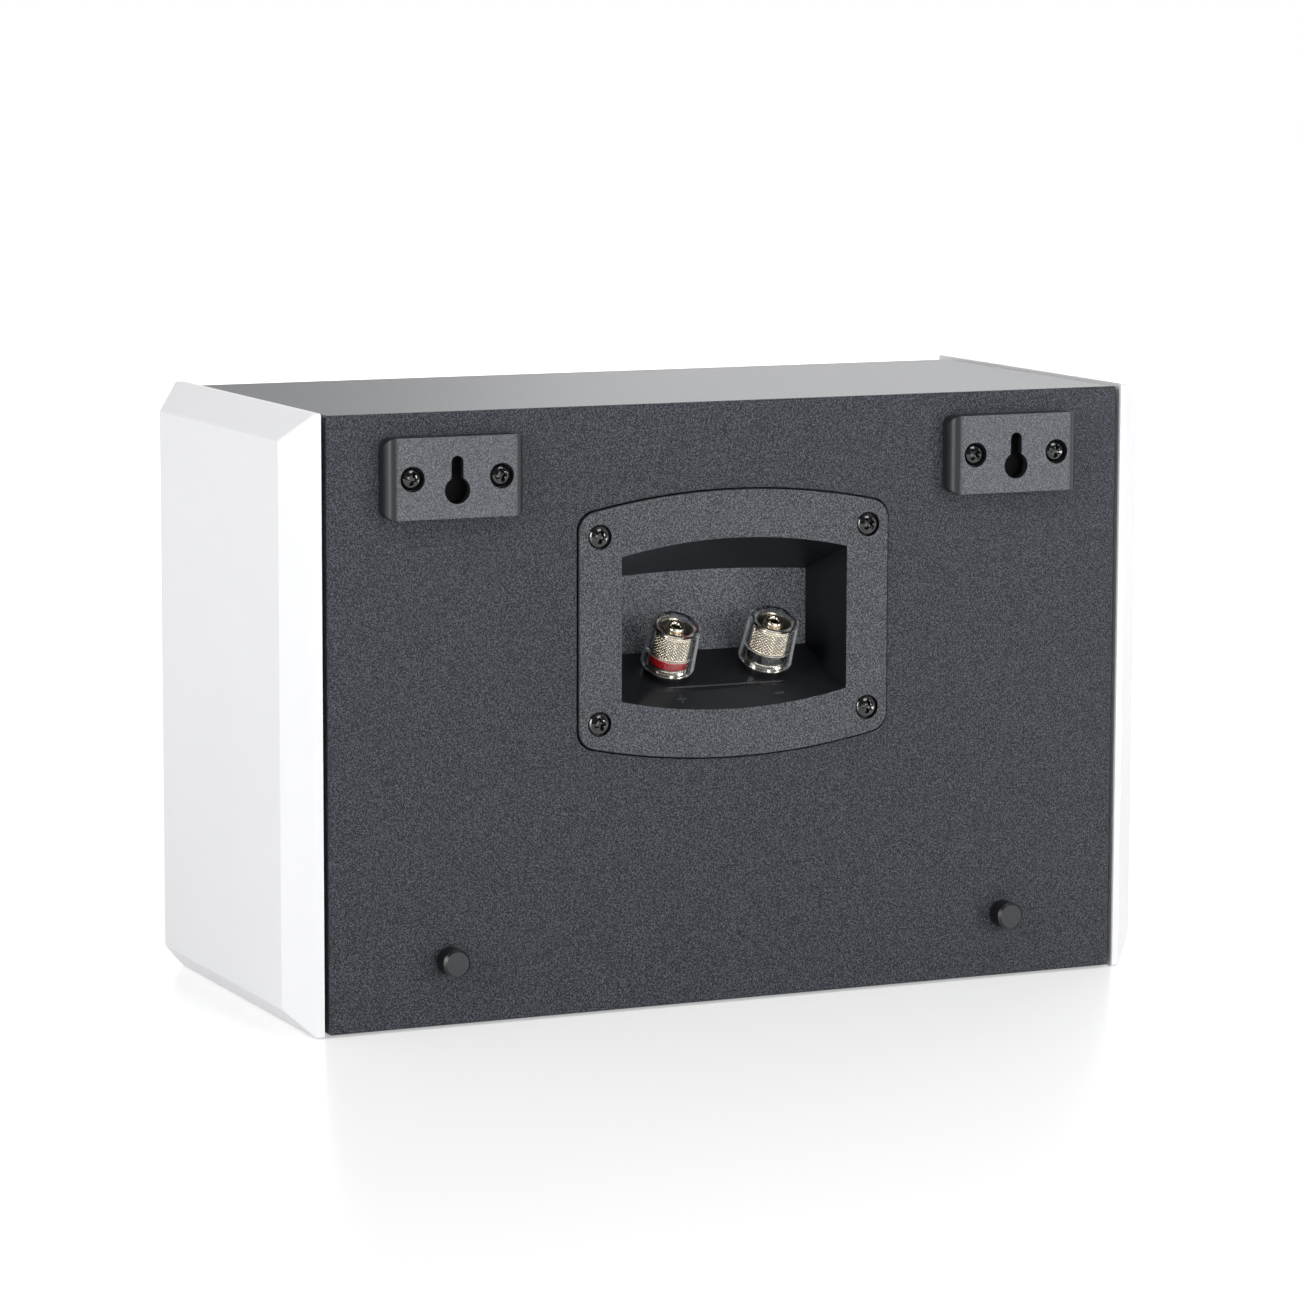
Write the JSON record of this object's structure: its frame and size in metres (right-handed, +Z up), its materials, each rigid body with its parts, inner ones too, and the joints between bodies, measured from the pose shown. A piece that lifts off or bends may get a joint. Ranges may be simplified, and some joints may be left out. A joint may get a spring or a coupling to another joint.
{
  "type": "bookshelf speaker",
  "caption": "Sealed two-way bookshelf speaker with white bevelled cheeks, recessed binding posts, keyhole wall brackets and a pull-off cloth grille.",
  "frame": {"origin": "on the surface the speaker stands on, under the middle of its bounding box", "axes": "+X along the width towards the red post's side, +Y out of the back with the terminals, +Z up; the grille faces -Y"},
  "size_m": [0.3, 0.1342, 0.1934],
  "materials": {
    "black_vinyl": "grained vinyl over fibreboard",
    "raw_mdf": "bare fibreboard",
    "white_satin": "satin white lacquer",
    "grey_wool": "loose fibre",
    "black_screw": "black oxide",
    "cup_plastic": "fine moulded grain",
    "black_rubber": "matt",
    "nickel": "bright plated",
    "red_plastic": "gloss",
    "black_plastic": "satin",
    "gold_knurl": "knurled and plated",
    "clear_plastic": "clear moulded",
    "black_steel": "powder coated",
    "zinc_steel": "zinc plated",
    "ferrite": "ground ferrite",
    "cone_paper": "pressed pulp",
    "copper": "enamelled winding",
    "amber_cloth": "resin-treated cloth",
    "black_silk": "coated silk",
    "grille_cloth": "woven",
    "green_board": "solder mask",
    "yellow_film": "wrapped film",
    "white_ceramic": "matt",
    "wire_jacket": "soft insulation"
  },
  "bodies": {
    "cabinet": {"back_panel": "black_vinyl", "board_screws": "black_screw", "board_standoffs": "black_plastic", "bracket_screws": "black_screw", "cabinet_brace": "raw_mdf", "cabinet_shell": "black_vinyl", "capacitors": "yellow_film", "cheek_screws": "black_screw", "cheek_spacers": "raw_mdf", "crossover_board": "green_board", "cup_gasket": "black_rubber", "cup_screws": "black_screw", "damping_wool": "grey_wool", "driver_screws": "black_screw", "front_baffle": "raw_mdf", "grille_sockets": "black_plastic", "inductors": "copper", "left_cheek": "white_satin", "left_keyhole_bracket": "cup_plastic", "post_collars": "nickel", "post_nuts": "nickel", "post_studs": "nickel", "post_wires": "wire_jacket", "resistor": "white_ceramic", "right_cheek": "white_satin", "right_keyhole_bracket": "cup_plastic", "solder_tags": "nickel", "terminal_cup": "cup_plastic", "tweeter_can": "black_plastic", "tweeter_faceplate": "black_plastic", "tweeter_magnet": "ferrite", "tweeter_pole_plate": "zinc_steel", "tweeter_surround": "black_silk", "tweeter_top_plate": "zinc_steel", "tweeter_wires": "wire_jacket", "wall_bumpers": "black_rubber", "woofer_basket": "black_steel", "woofer_gasket": "black_rubber", "woofer_magnet": "ferrite", "woofer_pole_plate": "zinc_steel", "woofer_spider": "amber_cloth", "woofer_surround": "black_rubber", "woofer_terminals": "black_plastic", "woofer_top_plate": "zinc_steel", "woofer_wires": "wire_jacket"},
    "red_washer": {"red_post_washer": "nickel"},
    "red_cap": {"red_post_ring": "red_plastic", "red_post_sleeve": "gold_knurl", "red_post_cap": "clear_plastic"},
    "black_washer": {"black_post_washer": "nickel"},
    "black_cap": {"black_post_ring": "black_plastic", "black_post_sleeve": "gold_knurl", "black_post_cap": "clear_plastic"},
    "woofer_piston": {"woofer_cone": "cone_paper", "woofer_dust_cap": "cone_paper", "woofer_voice_coil": "copper"},
    "tweeter_piston": {"tweeter_dome": "black_silk"},
    "grille": {"grille_frame": "black_plastic", "grille_cloth": "grille_cloth", "grille_pegs": "black_plastic"}
  },
  "joints": [
    {"name": "red_washer_lift", "type": "slide", "parent": "cabinet", "child": "red_washer", "axis": [0, 0.4584, 0.8887], "range_m": [0, 0.005]},
    {"name": "red_cap_turn", "type": "hinge", "parent": "red_washer", "child": "red_cap", "pos_m": [0.0172, 0.04653, 0.10707], "axis": [0, 0.4584, 0.8887], "range_deg": [0, 1800]},
    {"name": "black_washer_lift", "type": "slide", "parent": "cabinet", "child": "black_washer", "axis": [0, 0.4584, 0.8887], "range_m": [0, 0.005]},
    {"name": "black_cap_turn", "type": "hinge", "parent": "black_washer", "child": "black_cap", "pos_m": [-0.0172, 0.04653, 0.10707], "axis": [0, 0.4584, 0.8887], "range_deg": [0, 1800]},
    {"name": "woofer_stroke", "type": "slide", "parent": "cabinet", "child": "woofer_piston", "axis": [0, -1, 0], "range_m": [-0.003, 0.003], "stiffness_N_per_m": 1200, "deforming": ["woofer_surround", "woofer_spider"]},
    {"name": "tweeter_stroke", "type": "slide", "parent": "cabinet", "child": "tweeter_piston", "axis": [0, -1, 0], "range_m": [-0.0003, 0.0003], "stiffness_N_per_m": 400, "deforming": ["tweeter_surround"]},
    {"name": "grille_pull", "type": "slide", "parent": "cabinet", "child": "grille", "axis": [0, -1, 0], "range_m": [0, 0.04]}
  ],
  "couplings": [
    {"joint": "red_cap_turn", "follows": "red_washer_lift", "rad_per_m": 6283.2},
    {"joint": "black_cap_turn", "follows": "black_washer_lift", "rad_per_m": 6283.2}
  ]
}
